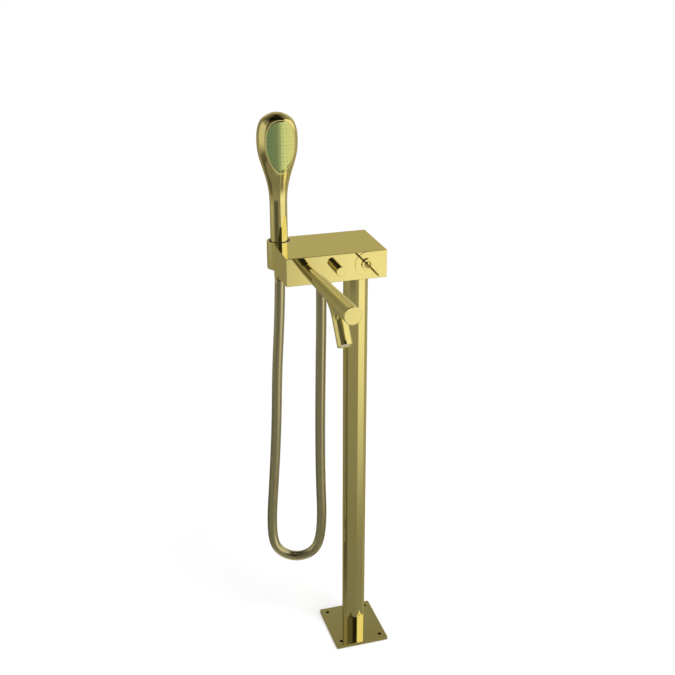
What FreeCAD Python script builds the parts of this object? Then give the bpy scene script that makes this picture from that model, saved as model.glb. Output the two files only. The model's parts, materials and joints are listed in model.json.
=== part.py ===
"""Floor standing bath filler: oblong foot, round column, box mixer with spout, diverter, lever and handset.

Millimetres, +Z up. X runs along the mixer body, and -Y is the side that the spout points to.
The origin is the centre of the base plate's underside, on the column's axis.
"""
import FreeCAD
import Part
import math
import os
from FreeCAD import Vector

# Clearances -----------------------------------------------------------------
push_fit = 0.05             # radial gap of parts that are pressed or screwed into one another
running_fit = 0.05          # radial gap of a shaft that turns or slides in its bore
easy_fit = 0.1              # radial gap of a part that passes through a plain hole
rest_gap = 0.2              # gap between a moving part and what it rests on
sweep_gap = 0.3             # gap between a turning part and the fixed face beside it

# Base plate -----------------------------------------------------------------
plate_width = 100.0
plate_depth = 118.0
plate_thickness = 6.0
plate_corner_radius = 2.0
plate_edge_radius = 0.6
anchor_inset_x = 12.0       # hole centre to the plate's side
anchor_inset_y = 13.0       # hole centre to the plate's front or back
anchor_hole_diameter = 6.5

# Column and its two sockets -------------------------------------------------
column_diameter = 42.0
column_wall = 2.0
column_length = 728.0
socket_wall = 6.0
foot_socket_length = 45.0
top_socket_length = 25.0
screw_diameter = 4.0        # every hidden M4 screw
screw_length = 14.0
screw_head_diameter = 7.4
screw_head_height = 2.3
pan_head_height = 2.4
socket_screw_count = 4

# Mixer body -----------------------------------------------------------------
body_left = 135.0           # reach of the body to the left of the column's axis
body_right = 35.0
body_depth = 116.0
body_height = 47.0
body_wall = 2.0
body_edge_radius = 0.8
cover_thickness = 3.0
post_diameter = 10.0        # screw posts inside the body
post_inset = 6.0            # post centre to the body's side
rear_post_shift = 44.0      # the rear left post stands clear of the handset holder
control_rise = 2.5          # spout, diverter and lever above the middle of the body's height

# Handset holder, in the body's rear left corner ------------------------------
holder_inset_x = 14.5       # holder's axis to the body's left side
holder_inset_y = 16.0       # holder's axis to the body's rear
holder_wall = 3.0
bush_wall = 2.8
bush_clearance = 0.65       # radial gap round the handset's handle
bush_lip_height = 8.0
bush_lip_bore = 22.0

# Handset --------------------------------------------------------------------
handle_diameter = 29.0
handset_wall = 2.0
head_rim = 1.0              # wall of the head round the spray face
face_distance = 22.7        # flat spray face in front of the handle's axis
face_thickness = 3.0
face_crown = 1.5            # the middle of the face stands this far in front of its rim
face_crown_radius = 150.0   # from side to side
# Heights above the handset's lower end, and radii, from the handle up to the crown.
handle_top_height = 98.0
head_widest = 206.0
head_outline = [(125.0, 15.9), (150.0, 21.2), (172.0, 28.0), (190.0, 32.2), (head_widest, 33.3),
                (220.0, 32.7), (232.0, 30.0), (242.5, 23.6), (249.2, 12.5)]
crown_height = 251.5
jet_diameter = 1.8
jet_proud = 0.6             # how far a jet stands out of the spray face
jet_pitch_x = 5.0
jet_pitch_z = 6.5
jet_edge = 3.5              # least distance from a jet to the edge of the spray face
jet_mat_thickness = 1.5

# Hose and its two ends ------------------------------------------------------
hose_diameter = 18.0
hose_bore = 12.6
nut_diameter = 19.0
nut_length = 25.7
nut_lip = 2.5
tail_clearance = 0.7        # radial gap of the hose tail in the hose
tail_bore = 9.0
tail_length = 15.0
tail_flange = 2.5
washer_thickness = 2.0
thread_diameter = 16.1      # threads of the hose ends
thread_bore = 10.0
outlet_x = -54.0            # hose outlet under the body
outlet_y = 21.5
connector_height = 20.0     # part of the handset connector that sits in the handle
nipple_flange_diameter = 18.0
nipple_flange_height = 8.0
check_valve_length = 12.0

# Mixer and its lever ---------------------------------------------------------
lever_x = 0.5
housing_depth = 40.0        # the valve casting, behind the body's front wall
mixer_housing_diameter = 34.0
cartridge_diameter = 25.0
cartridge_length = 28.0
cartridge_nut_length = 6.0
nut_thread_extra = 1.5      # the cartridge nut's radius beyond the cartridge's
neck_diameter = 16.0
neck_proud = 1.5            # neck in front of the control disc, inside the collar
disc_diameter = 41.0
disc_thickness = 1.0
collar_diameter = 19.0
collar_height = 3.0
collar_opening = 10.8
ball_diameter = 12.0
ball_proud = 1.5            # ball in front of the collar
ball_seat_bore = 10.4       # bore behind the ball, narrower than the ball
stem_diameter = 5.0
stem_length = 13.3          # stem behind the ball's centre
socket_web = 1.0            # between the sockets of the stem and the pin in the ball
pin_diameter = 3.6
pin_length = 59.0           # in front of the control disc
rotor_diameter = 20.0
rotor_thickness = 6.0
rotor_slot_width = 5.4
rotor_slot_up = 2.8
rotor_slot_down = 6.8       # room for the stem's rear end when the pin is lifted

# Diverter --------------------------------------------------------------------
diverter_x = -51.0
diverter_housing_diameter = 24.0
diverter_chamber_diameter = 16.0
sleeve_diameter = 11.4
sleeve_proud = 10.0         # sleeve in front of the body
sleeve_grip = 10.0          # sleeve behind the front wall, in the casting
rod_diameter = 5.0
rod_grip = 11.0             # rod inside the knob's solid end
knob_diameter = 16.0
knob_length = 25.5
knob_gap = 0.5              # gap between the knob pushed in and the body
knob_skirt_wall = 1.9
knob_travel = 8.0
seal_thickness = 3.0
seal_gap = 2.0              # seal to the sleeve with the knob pulled out

# Water ways ------------------------------------------------------------------
gallery_diameter = 16.0
gallery_bore = 10.0
gallery_setback = 20.0      # gallery's axis behind the inside of the front wall
supply_pipe_diameter = 11.0
supply_pipe_wall = 1.5
supply_socket_diameter = 9.0    # sockets in the pipes' lower ends
supply_socket_depth = 12.0
supply_spacing = 14.0       # hot to cold
supply_pipe_foot = 1.0      # lower ends of the pipes above the floor
pipe_bend_share = 0.75      # a pipe's bend takes up this share of its shorter run
port_depth = 6.0            # thickness of the housings' rear walls

# Spout -----------------------------------------------------------------------
spout_x = -100.0
spout_length = 238.5
spout_rise = 2.65           # degrees above level
spout_root_diameter = 19.6
spout_end_diameter = 27.4
spout_wall = 2.2
spout_end_wall = 3.0
spout_end_radius = 1.0
nipple_diameter = 14.0
nipple_bore = 10.0
nipple_reach = 18.0         # nipple in front of the body
nipple_grip = 16.0          # nipple behind the front wall
spout_housing_diameter = 24.0
ring_width = 1.8
ring_depth = 1.0
ring_places = (6.0, 12.0)   # seal rings in front of the body
nozzle_distance = 158.3     # root to the point where the nozzle's axis crosses, along the spout
nozzle_lean = 37.5          # degrees forward from straight down
nozzle_bend = 60.0          # radius of the bend from the spout into the nozzle
nozzle_blend = 22.0         # radius of the hollow between the spout and the nozzle
nozzle_diameter = 23.4
nozzle_reach = 71.7         # from the crossing point to the outlet
nozzle_seam = 33.0          # from the crossing point to the sleeve
nozzle_spigot = 10.0        # thread between the spout and the sleeve
nozzle_wall = 2.1
aerator_length = 15.0
aerator_recess = 2.5
aerator_wall = 1.9
insert_thickness = 1.2
insert_hole_diameter = 1.1
insert_pitch = 2.2
insert_rings = 3

# Worked out ------------------------------------------------------------------
plate_top = plate_thickness
body_bottom = plate_top + column_length
body_top = body_bottom + body_height
cover_top = body_bottom + cover_thickness
control_z = body_bottom + body_height / 2 + control_rise
front_face = -body_depth / 2
front_inside = front_face + body_wall
housing_back = front_inside + housing_depth
gallery_y = front_inside + gallery_setback
column_bore = column_diameter - 2 * column_wall
socket_diameter = column_bore - 2 * push_fit
pipe_opening = socket_diameter - 2 * socket_wall
socket_screw_circle = (socket_diameter + pipe_opening) / 2
holder_x = -body_left + holder_inset_x
holder_y = body_depth / 2 - holder_inset_y
handle_radius = handle_diameter / 2
bush_bore = handle_diameter + 2 * bush_clearance
bush_diameter = bush_bore + 2 * bush_wall
holder_bore = bush_diameter + 2 * push_fit
holder_diameter = holder_bore + 2 * holder_wall
handset_bottom = body_bottom + bush_lip_height + rest_gap
handset_nut_bottom = handset_bottom - rest_gap - nut_length
outlet_nut_bottom = body_bottom - rest_gap - nut_length

TO_FRONT = Vector(0, -1, 0)
TO_BACK = Vector(0, 1, 0)
UP = Vector(0, 0, 1)
DOWN = Vector(0, 0, -1)


def save(name, shape):
    """Write one node; its name is the file's name."""
    shape.exportStep("parts/" + name + ".step")


def rod(diameter, length, start, direction):
    return Part.makeCylinder(diameter / 2, length, start, direction)


def ring(outer, inner, length, start, direction):
    """Round tube whose bore runs through both ends."""
    spare = 1.0
    bore_start = start - direction * spare
    return rod(outer, length, start, direction).cut(rod(inner, length + 2 * spare, bore_start, direction))


def block(x_low, x_high, y_low, y_high, z_low, z_high):
    size = (x_high - x_low, y_high - y_low, z_high - z_low)
    return Part.makeBox(*size, Vector(x_low, y_low, z_low))


def edges_where(shape, test):
    """Edges whose every sampled point passes the test."""
    return [edge for edge in shape.Edges if all(test(point) for point in edge.discretize(3))]


def swept_tube(points, bend_radius, outer, inner):
    """Bent pipe through three points, square to its first run."""
    path = tangent_path(points, [bend_radius])
    start = points[0]
    direction = points[1] - points[0]
    outside = path.makePipe(round_face(outer, start, direction))
    inside = path.makePipe(round_face(inner, start, direction))
    return outside.cut(inside)


def round_face(diameter, centre, direction):
    return Part.Face(Part.Wire(Part.Edge(Part.Circle(centre, direction, diameter / 2))))


def tangent_path(points, radii):
    """Straight runs joined by arcs that are tangent to them."""
    edges = []
    last = points[0]
    for before, corner, after, radius in zip(points, points[1:], points[2:], radii):
        towards = (corner - before).normalize()
        away = (after - corner).normalize()
        half_turn = towards.getAngle(away) / 2
        step = radius * math.tan(half_turn)
        arc_start = corner - towards * step
        arc_end = corner + away * step
        middle_way = (away - towards).normalize()
        arc_middle = corner + middle_way * (radius / math.cos(half_turn) - radius)
        edges.append(Part.LineSegment(last, arc_start).toShape())
        edges.append(Part.Arc(arc_start, arc_middle, arc_end).toShape())
        last = arc_end
    edges.append(Part.LineSegment(last, points[-1]).toShape())
    return Part.Wire(edges)


def pan_screw(seat, direction):
    """Pan head on its seat, with the shank along the direction."""
    head = rod(screw_head_diameter, pan_head_height, seat - direction * pan_head_height, direction)
    shank = rod(screw_diameter, screw_length, seat, direction)
    return head.fuse(shank)


def countersunk_screw(surface, direction):
    """Flat head flush with the surface, with the shank along the direction."""
    cone = Part.makeCone(screw_head_diameter / 2, screw_diameter / 2, screw_head_height, surface, direction)
    return cone.fuse(rod(screw_diameter, screw_length, surface, direction))


def countersunk_hole(surface, direction, depth):
    """Room for a countersunk screw, with the push fit all round."""
    cone = Part.makeCone(screw_head_diameter / 2 + push_fit, screw_diameter / 2 + push_fit,
                         screw_head_height, surface, direction)
    return cone.fuse(rod(screw_diameter + 2 * push_fit, depth, surface, direction))


# Foot and column ---------------------------------------------------------------

def socket_screw_places(z):
    for number in range(socket_screw_count):
        angle = math.radians(45 + number * 360 / socket_screw_count)
        radius = socket_screw_circle / 2
        yield Vector(radius * math.cos(angle), radius * math.sin(angle), z)


def base_plate():
    half_x = plate_width / 2
    half_y = plate_depth / 2
    plate = block(-half_x, half_x, -half_y, half_y, 0, plate_thickness)
    corners = edges_where(plate, lambda p: abs(abs(p.x) - half_x) < 0.01 and abs(abs(p.y) - half_y) < 0.01)
    plate = plate.makeFillet(plate_corner_radius, corners)
    rim = edges_where(plate, lambda p: abs(p.z - plate_thickness) < 0.01)
    plate = plate.makeFillet(plate_edge_radius, rim)
    for side_x in (-1, 1):
        for side_y in (-1, 1):
            place = Vector(side_x * (half_x - anchor_inset_x), side_y * (half_y - anchor_inset_y), -1)
            plate = plate.cut(rod(anchor_hole_diameter, plate_thickness + 2, place, UP))
    plate = plate.cut(rod(pipe_opening, plate_thickness + 2, Vector(0, 0, -1), UP))
    for place in socket_screw_places(0):
        plate = plate.cut(countersunk_hole(place, UP, plate_thickness + 1))
    return plate


def foot_socket():
    socket = ring(socket_diameter, pipe_opening, foot_socket_length, Vector(0, 0, plate_top), UP)
    for place in socket_screw_places(0):
        socket = socket.cut(rod(screw_diameter + 2 * push_fit, screw_length + 1, place, UP))
    return socket


def foot_screws():
    return Part.makeCompound([countersunk_screw(place, UP) for place in socket_screw_places(0)])


def column_tube():
    return ring(column_diameter, column_bore, column_length, Vector(0, 0, plate_top), UP)


def top_socket():
    low = body_bottom - top_socket_length
    socket = ring(socket_diameter, pipe_opening, top_socket_length, Vector(0, 0, low), UP)
    for place in socket_screw_places(cover_top):
        socket = socket.cut(rod(screw_diameter + 2 * push_fit, screw_length + 1, place, DOWN))
    return socket


def top_screws():
    return Part.makeCompound([pan_screw(place, DOWN) for place in socket_screw_places(cover_top)])


# Mixer body --------------------------------------------------------------------

def post_places(z):
    """Screw posts at the body's corners; the rear left one stands beside the holder."""
    left = -body_left + post_inset
    right = body_right - post_inset
    near = body_depth / 2 - post_inset
    return [Vector(right, -near, z), Vector(right, near, z), Vector(left, -near, z),
            Vector(left + rear_post_shift, near, z)]


def body_shell():
    half_depth = body_depth / 2
    outside = block(-body_left, body_right, -half_depth, half_depth, body_bottom, body_top)
    outside = outside.makeFillet(body_edge_radius, outside.Edges)
    holder = rod(holder_diameter, body_height, Vector(holder_x, holder_y, body_bottom), UP)
    holder_rims = edges_where(holder, lambda p: min(abs(p.z - body_bottom), abs(p.z - body_top)) < 0.01)
    holder = holder.makeFillet(body_edge_radius, holder_rims)
    cavity = block(-body_left + body_wall, body_right - body_wall, -half_depth + body_wall,
                   half_depth - body_wall, body_bottom - 1, body_top - body_wall)
    below_holder = Vector(holder_x, holder_y, body_bottom - 1)
    cavity = cavity.cut(rod(holder_diameter, body_height + 2, below_holder, UP))
    shell = outside.fuse(holder).cut(cavity)
    shell = shell.cut(rod(holder_bore, body_height + 2, below_holder, UP))
    for place in post_places(cover_top):
        post = rod(post_diameter, body_top - body_wall - cover_top, place, UP)
        shell = shell.fuse(post)
    for place in post_places(body_bottom):
        shell = shell.cut(rod(screw_diameter + 2 * push_fit, screw_length + 1, place, UP))
    for x, diameter in ((lever_x, neck_diameter), (diverter_x, sleeve_diameter), (spout_x, nipple_diameter)):
        start = Vector(x, front_face - 1, control_z)
        shell = shell.cut(rod(diameter + 2 * easy_fit, body_wall + 2, start, TO_BACK))
    return shell.removeSplitter()


def bottom_cover():
    half_depth = body_depth / 2
    inset = body_wall + push_fit
    cover = block(-body_left + inset, body_right - inset, -half_depth + inset, half_depth - inset,
                  body_bottom, cover_top)
    holder_room = holder_diameter + 2 * push_fit
    cover = cover.cut(rod(holder_room, cover_thickness + 2, Vector(holder_x, holder_y, body_bottom - 1), UP))
    cover = cover.cut(rod(pipe_opening, cover_thickness + 2, Vector(0, 0, body_bottom - 1), UP))
    outlet = Vector(outlet_x, outlet_y, body_bottom - 1)
    cover = cover.cut(rod(thread_diameter + 2 * easy_fit, cover_thickness + 2, outlet, UP))
    for place in post_places(body_bottom):
        cover = cover.cut(countersunk_hole(place, UP, cover_thickness + 1))
    for place in socket_screw_places(cover_top + 1):
        cover = cover.cut(rod(screw_diameter + 2 * push_fit, cover_thickness + 2, place, DOWN))
    return cover


def cover_screws():
    return Part.makeCompound([countersunk_screw(place, UP) for place in post_places(body_bottom)])


def holder_bush():
    base = Vector(holder_x, holder_y, body_bottom)
    bush = ring(bush_diameter, bush_lip_bore, bush_lip_height, base, UP)
    sleeve = ring(bush_diameter, bush_bore, body_height - bush_lip_height, base + UP * bush_lip_height, UP)
    return bush.fuse(sleeve).removeSplitter()


# Valve casting and what it holds -----------------------------------------------

def on_front(x, y):
    return Vector(x, y, control_z)


def valve_casting():
    gallery_start = on_front(spout_x, gallery_y)
    gallery_length = lever_x - spout_x
    mixer = on_front(lever_x, front_inside)
    diverter = on_front(diverter_x, front_inside)
    spout = on_front(spout_x, front_inside)
    casting = rod(mixer_housing_diameter, housing_depth, mixer, TO_BACK)
    casting = casting.fuse(rod(diverter_housing_diameter, housing_depth, diverter, TO_BACK))
    spout_depth = gallery_setback + spout_housing_diameter / 2
    casting = casting.fuse(rod(spout_housing_diameter, spout_depth, spout, TO_BACK))
    casting = casting.fuse(rod(gallery_diameter, gallery_length, gallery_start, Vector(1, 0, 0)))
    nut_diameter_fit = cartridge_diameter + 2 * nut_thread_extra + 2 * push_fit
    chamber_length = housing_depth - sleeve_grip - port_depth
    bores = [rod(gallery_bore, gallery_length, gallery_start, Vector(1, 0, 0)),
             rod(cartridge_diameter + 2 * push_fit, housing_depth - port_depth, mixer, TO_BACK),
             rod(nut_diameter_fit, cartridge_nut_length, mixer, TO_BACK),
             rod(sleeve_diameter + 2 * push_fit, sleeve_grip, diverter, TO_BACK),
             rod(diverter_chamber_diameter, chamber_length, diverter + TO_BACK * sleeve_grip, TO_BACK),
             rod(nipple_diameter + 2 * push_fit, nipple_grip, spout, TO_BACK),
             rod(nipple_bore, gallery_setback, spout, TO_BACK),
             rod(supply_pipe_diameter - 2 * supply_pipe_wall, port_depth + 2,
                 on_front(outlet_x, housing_back - port_depth - 1), TO_BACK)]
    for side in (-1, 1):
        port = on_front(side * supply_spacing / 2, housing_back - port_depth - 1)
        bores.append(rod(supply_pipe_diameter - 2 * supply_pipe_wall, port_depth + 2, port, TO_BACK))
    for bore in bores:
        casting = casting.cut(bore)
    return casting.removeSplitter()


disc_front = front_face - disc_thickness
ball_y = disc_front - collar_height - ball_proud + ball_diameter / 2
ball_centre = on_front(lever_x, ball_y)
rotor_front = front_inside + cartridge_nut_length + sweep_gap


def mixer_cartridge():
    front = on_front(lever_x, front_inside + cartridge_nut_length)
    body = rod(cartridge_diameter, cartridge_length, front, TO_BACK)
    chamber_depth = rotor_thickness + 2 * sweep_gap
    return body.cut(rod(rotor_diameter + 2 * running_fit, chamber_depth, front, TO_BACK))


def cartridge_rotor():
    """Turns in the cartridge; the stem leans up and down in its slot."""
    disc = rod(rotor_diameter, rotor_thickness, on_front(lever_x, rotor_front), TO_BACK)
    half_slot = rotor_slot_width / 2
    return disc.cut(block(lever_x - half_slot, lever_x + half_slot, rotor_front - 1,
                          rotor_front + rotor_thickness + 1, control_z - rotor_slot_down,
                          control_z + rotor_slot_up))


def cartridge_nut():
    """Holds the cartridge, and holds the ball in its neck against the collar."""
    inside = on_front(lever_x, front_inside)
    flange = rod(cartridge_diameter + 2 * nut_thread_extra, cartridge_nut_length, inside, TO_BACK)
    nut = flange.fuse(rod(neck_diameter, body_wall + disc_thickness + neck_proud, inside, TO_FRONT))
    nut = nut.cut(rod(ball_seat_bore, 2 * housing_depth, on_front(lever_x, housing_back), TO_FRONT))
    ball_room = ball_diameter / 2 + rest_gap
    seat = math.sqrt(ball_room ** 2 - (ball_seat_bore / 2) ** 2)
    return nut.cut(rod(2 * ball_room, housing_depth, on_front(lever_x, ball_y + seat), TO_FRONT))


def control_disc():
    bore = neck_diameter + 2 * push_fit
    disc = ring(disc_diameter, bore, disc_thickness, on_front(lever_x, front_face), TO_FRONT)
    rim = edges_where(disc, lambda p: abs(p.y - disc_front) < 0.01
                      and math.hypot(p.x - lever_x, p.z - control_z) > neck_diameter)
    return disc.makeFillet(disc_thickness / 4, rim)


def lever_collar():
    """Screwed on the neck; its opening is narrower than the ball."""
    collar = ring(collar_diameter, collar_opening, collar_height, on_front(lever_x, disc_front), TO_FRONT)
    rim = edges_where(collar, lambda p: abs(p.y - disc_front + collar_height) < 0.01)
    collar = collar.makeFillet(collar_height / 5, rim)
    thread = neck_diameter + 2 * push_fit
    return collar.cut(rod(thread, neck_proud + push_fit + 1, on_front(lever_x, disc_front + 1), TO_FRONT))


def lever_ball():
    stem_end = ball_centre + TO_FRONT * socket_web
    pin_end = stem_end + TO_FRONT * socket_web
    ball = Part.makeSphere(ball_diameter / 2, ball_centre)
    ball = ball.cut(rod(stem_diameter + 2 * push_fit, ball_diameter, stem_end, TO_BACK))
    return ball.cut(rod(pin_diameter + 2 * push_fit, ball_diameter, pin_end, TO_FRONT))


def cartridge_stem():
    start = ball_centre + TO_FRONT * (socket_web - push_fit)
    return rod(stem_diameter, stem_length + socket_web - push_fit, start, TO_BACK)


def lever_pin():
    socket = ball_y - 2 * socket_web - push_fit
    tip = disc_front - pin_length
    pin = rod(pin_diameter, socket - tip, on_front(lever_x, tip), TO_BACK)
    rim = edges_where(pin, lambda p: abs(p.y - tip) < 0.01)
    return pin.makeFillet(pin_diameter / 8, rim)


# Diverter ----------------------------------------------------------------------

knob_back = front_face - knob_gap
knob_front = knob_back - knob_length
sleeve_front = front_face - sleeve_proud
skirt_end = sleeve_front - knob_gap


def diverter_sleeve():
    length = sleeve_proud + body_wall + sleeve_grip
    bore = rod_diameter + 2 * running_fit
    return ring(sleeve_diameter, bore, length, on_front(diverter_x, sleeve_front), TO_BACK)


seal_front = front_inside + sleeve_grip + seal_gap + knob_travel


def diverter_seal():
    front = on_front(diverter_x, seal_front)
    diameter = diverter_chamber_diameter - 2 * sweep_gap
    return ring(diameter, rod_diameter + 2 * push_fit, seal_thickness, front, TO_BACK)


def diverter_rod():
    start = skirt_end - rod_grip
    length = seal_front + 2 * seal_thickness - start
    return rod(rod_diameter, length, on_front(diverter_x, start), TO_BACK)


def diverter_knob():
    knob = rod(knob_diameter, knob_length, on_front(diverter_x, knob_back), TO_FRONT)
    rims = edges_where(knob, lambda p: min(abs(p.y - knob_back), abs(p.y - knob_front)) < 0.01)
    knob = knob.makeFillet(knob_diameter / 25, rims)
    skirt_bore = knob_diameter - 2 * knob_skirt_wall
    knob = knob.cut(rod(skirt_bore, knob_back - skirt_end, on_front(diverter_x, knob_back), TO_FRONT))
    socket_start = on_front(diverter_x, skirt_end)
    return knob.cut(rod(rod_diameter + 2 * push_fit, rod_grip + rest_gap, socket_start, TO_FRONT))


# Spout ---------------------------------------------------------------------------

spout_way = Vector(0, -math.cos(math.radians(spout_rise)), math.sin(math.radians(spout_rise)))
spout_root = on_front(spout_x, front_face)
nozzle_way = Vector(0, -math.sin(math.radians(nozzle_lean)), -math.cos(math.radians(nozzle_lean)))
nozzle_crossing = spout_root + spout_way * nozzle_distance
nozzle_turn = math.radians(90 - nozzle_lean + spout_rise)


def spout_cone(shrink, length):
    """The spout's round taper, with its radius made smaller by the shrink."""
    grow = (spout_end_diameter - spout_root_diameter) / 2 / spout_length
    back = 2 * spout_root_diameter
    start = spout_root - spout_way * back
    start_radius = spout_root_diameter / 2 - grow * back - shrink
    end_radius = spout_root_diameter / 2 + grow * length - shrink
    return Part.makeCone(start_radius, end_radius, back + length, start, spout_way)


def nozzle_branch(diameter, reach):
    """Round bend out of the spout's axis, then straight along the nozzle to its reach."""
    bend_step = nozzle_bend * math.tan(nozzle_turn / 2)
    start = nozzle_crossing - spout_way * (bend_step + 1)
    path = tangent_path([start, nozzle_crossing, nozzle_crossing + nozzle_way * reach], [nozzle_bend])
    return path.makePipe(round_face(diameter, start, spout_way))


def spout_tube():
    outside = spout_cone(0, spout_length)
    end = spout_root + spout_way * spout_length
    rim = edges_where(outside, lambda p: abs((p - end).dot(spout_way)) < 0.01)
    outside = outside.makeFillet(spout_end_radius, rim)
    outside = outside.fuse(nozzle_branch(nozzle_diameter, nozzle_seam)).removeSplitter()
    meeting = edges_where(outside, lambda p: abs(p.y - nozzle_crossing.y) < nozzle_bend
                          and control_z - spout_end_diameter < p.z < nozzle_crossing.z)
    meeting = [edge for edge in meeting if edge.Curve.TypeId == "Part::GeomBSplineCurve"]
    outside = outside.makeFillet(nozzle_blend, meeting)
    spigot_diameter = nozzle_diameter - 2 * nozzle_wall - 2 * push_fit
    seam = nozzle_crossing + nozzle_way * nozzle_seam
    outside = outside.fuse(rod(spigot_diameter, nozzle_spigot, seam, nozzle_way))
    water_way = nozzle_diameter - 4 * spout_wall
    tube = outside.cut(spout_cone(spout_wall, spout_length - spout_end_wall))
    tube = tube.cut(nozzle_branch(water_way, nozzle_seam + nozzle_spigot + 1))
    behind = 2 * spout_root_diameter + spout_wall
    tube = tube.cut(block(spout_x - behind, spout_x + behind, front_face, front_face + 2 * behind,
                          control_z - behind, control_z + behind))
    plug = rod(spout_root_diameter - spout_wall, nipple_reach, spout_root, TO_FRONT)
    plug = plug.common(spout_cone(spout_wall / 2, spout_length))
    tube = tube.fuse(plug)
    return tube.cut(rod(nipple_diameter + 2 * push_fit, nipple_reach + 1, spout_root + TO_BACK, TO_FRONT))


def seal_groove(place):
    start = on_front(spout_x, front_face - place)
    width = ring_width + 2 * push_fit
    return ring(nipple_diameter + 2, nipple_diameter - 2 * ring_depth, width, start, TO_FRONT)


def spout_nipple():
    rear = on_front(spout_x, front_inside + nipple_grip)
    length = nipple_grip + body_wall + nipple_reach - rest_gap
    nipple = ring(nipple_diameter, nipple_bore, length, rear, TO_FRONT)
    for place in ring_places:
        nipple = nipple.cut(seal_groove(place))
    return nipple


def spout_seals():
    rings = []
    ring_bore = nipple_diameter - 2 * ring_depth + push_fit
    for place in ring_places:
        start = on_front(spout_x, front_face - place - push_fit)
        rings.append(ring(nipple_diameter, ring_bore, ring_width, start, TO_FRONT))
    return Part.makeCompound(rings)


nozzle_outlet = nozzle_crossing + nozzle_way * nozzle_reach
sleeve_bore = nozzle_diameter - 2 * nozzle_wall
aerator_top = nozzle_outlet - nozzle_way * (aerator_recess + aerator_length)


def nozzle_sleeve():
    length = nozzle_reach - nozzle_seam
    sleeve = rod(nozzle_diameter, length, nozzle_outlet, nozzle_way * -1)
    rim = edges_where(sleeve, lambda p: abs((p - nozzle_outlet).dot(nozzle_way)) < 0.01)
    sleeve = sleeve.makeFillet(nozzle_wall / 4, rim)
    return sleeve.cut(rod(sleeve_bore, length + 2, nozzle_outlet + nozzle_way, nozzle_way * -1))


def aerator_body():
    diameter = sleeve_bore - 2 * push_fit
    bore = diameter - 2 * aerator_wall
    cup = rod(diameter, aerator_length, aerator_top, nozzle_way)
    pocket = aerator_top + nozzle_way * (aerator_length - insert_thickness)
    cup = cup.cut(rod(bore, insert_thickness + 1, pocket, nozzle_way))
    return cup.cut(rod(bore - 2 * aerator_wall, aerator_length + 2, aerator_top - nozzle_way, nozzle_way))


def aerator_insert():
    diameter = sleeve_bore - 2 * push_fit - 2 * aerator_wall - 2 * push_fit
    seat = aerator_top + nozzle_way * (aerator_length - insert_thickness)
    insert = rod(diameter, insert_thickness, seat, nozzle_way)
    sideways = Vector(1, 0, 0)
    forward = nozzle_way.cross(sideways)
    holes = [rod(insert_hole_diameter, insert_thickness + 2, seat - nozzle_way, nozzle_way)]
    for circle in range(1, insert_rings + 1):
        for step in range(6 * circle):
            angle = 2 * math.pi * step / (6 * circle)
            outward = sideways * math.cos(angle) + forward * math.sin(angle)
            place = seat - nozzle_way + outward * (insert_pitch * circle)
            holes.append(rod(insert_hole_diameter, insert_thickness + 2, place, nozzle_way))
    return insert.cut(Part.makeCompound(holes))


def aerator_washer():
    diameter = sleeve_bore - 2 * push_fit
    return ring(diameter, diameter - 4 * aerator_wall, washer_thickness, aerator_top, nozzle_way * -1)


# Pipes inside the column and body ----------------------------------------------------

def supply_pipe(side):
    x = side * supply_spacing / 2
    points = [Vector(x, 0, supply_pipe_foot), on_front(x, 0), on_front(x, housing_back)]
    bore = supply_pipe_diameter - 2 * supply_pipe_wall
    bend = pipe_bend_share * points[1].distanceToPoint(points[2])
    pipe = swept_tube(points, bend, supply_pipe_diameter, bore)
    return pipe.cut(rod(supply_socket_diameter, supply_socket_depth + 1, points[0] + DOWN, UP))


def feed_pipe():
    """From the diverter's rear port to the hose outlet."""
    points = [on_front(outlet_x, housing_back), on_front(outlet_x, outlet_y),
              Vector(outlet_x, outlet_y, cover_top + nipple_flange_height)]
    bore = supply_pipe_diameter - 2 * supply_pipe_wall
    bend = pipe_bend_share * points[1].distanceToPoint(points[2])
    return swept_tube(points, bend, supply_pipe_diameter, bore)


# Hose ends: the same nut, washer and tail at the outlet and at the handset -------------

thread_drop = nut_length - nut_lip - tail_flange - washer_thickness + rest_gap


def hose_nut(x, y, nut_bottom):
    nut = rod(nut_diameter, nut_length, Vector(x, y, nut_bottom), UP)
    nut = nut.makeFillet(nut_diameter / 30, edges_where(nut, lambda p: abs(p.z - nut_bottom) < 0.01))
    nut = nut.cut(rod(tail_diameter + 2 * easy_fit, nut_length, Vector(x, y, nut_bottom - 1), UP))
    return nut.cut(rod(thread_diameter + 2 * push_fit, nut_length, Vector(x, y, nut_bottom + nut_lip), UP))


def hose_tail(x, y, nut_bottom):
    start = Vector(x, y, nut_bottom - tail_length)
    tail = rod(tail_diameter, tail_length + nut_lip + tail_flange, start, UP)
    tail = tail.fuse(rod(thread_diameter, tail_flange, Vector(x, y, nut_bottom + nut_lip), UP))
    return tail.cut(rod(tail_bore, tail_length + nut_length, start - UP, UP))


def hose_washer(x, y, nut_bottom):
    start = Vector(x, y, nut_bottom + nut_lip + tail_flange)
    return ring(thread_diameter, tail_bore, washer_thickness, start, UP)


tail_diameter = hose_bore - 2 * tail_clearance


def outlet_nipple():
    nipple = rod(nipple_flange_diameter, nipple_flange_height, Vector(outlet_x, outlet_y, cover_top), UP)
    thread_length = cover_thickness + thread_drop
    nipple = nipple.fuse(rod(thread_diameter, thread_length, Vector(outlet_x, outlet_y, cover_top), DOWN))
    bore_start = Vector(outlet_x, outlet_y, body_bottom - body_height)
    return nipple.cut(rod(thread_bore, 2 * body_height, bore_start, UP))


def check_valve():
    diameter = thread_bore - 2 * push_fit
    start = Vector(outlet_x, outlet_y, body_bottom - check_valve_length)
    return ring(diameter, diameter / 2, check_valve_length, start, UP)


# Handset -------------------------------------------------------------------------------

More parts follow.
